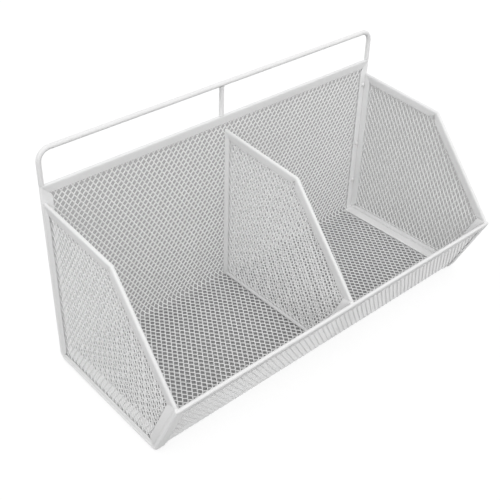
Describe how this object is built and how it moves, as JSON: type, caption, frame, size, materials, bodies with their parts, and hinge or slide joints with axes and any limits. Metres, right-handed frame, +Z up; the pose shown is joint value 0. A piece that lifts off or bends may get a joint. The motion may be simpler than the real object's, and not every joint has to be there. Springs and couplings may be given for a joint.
{
  "type": "hanging kitchen basket",
  "caption": "White mesh storage basket with bays side by side, a slanted front lip, a flat back, folded metal edging and a wire above the back for hanging.",
  "frame": {"origin": "middle of the bounding box, at the level of the flat underside", "axes": "+Z up, +X along the width to the right, -Y towards the open front lip, +Y towards the wall"},
  "size_m": [0.43, 0.1934, 0.2407],
  "materials": {
    "white_powder_coat": "satin"
  },
  "bodies": {
    "root": {"back_mesh": "white_powder_coat", "floor_mesh": "white_powder_coat", "lip_mesh": "white_powder_coat", "back_top_strip": "white_powder_coat", "lip_top_strip": "white_powder_coat", "back_left_strip": "white_powder_coat", "back_right_strip": "white_powder_coat", "floor_left_strip": "white_powder_coat", "floor_right_strip": "white_powder_coat", "lip_left_strip": "white_powder_coat", "lip_right_strip": "white_powder_coat", "left_panel_mesh": "white_powder_coat", "left_panel_rear_strip": "white_powder_coat", "left_panel_top_strip": "white_powder_coat", "left_panel_front_strip": "white_powder_coat", "left_panel_bottom_strip": "white_powder_coat", "right_panel_mesh": "white_powder_coat", "right_panel_rear_strip": "white_powder_coat", "right_panel_top_strip": "white_powder_coat", "right_panel_front_strip": "white_powder_coat", "right_panel_bottom_strip": "white_powder_coat", "divider_mesh": "white_powder_coat", "divider_rear_strip": "white_powder_coat", "divider_top_strip": "white_powder_coat", "divider_front_strip": "white_powder_coat", "divider_bottom_strip": "white_powder_coat", "hanger_wire": "white_powder_coat", "hanger_strut": "white_powder_coat", "left_lower_rivet": "white_powder_coat", "left_middle_rivet": "white_powder_coat", "left_upper_rivet": "white_powder_coat", "right_lower_rivet": "white_powder_coat", "right_middle_rivet": "white_powder_coat", "right_upper_rivet": "white_powder_coat"}
  },
  "joints": []
}
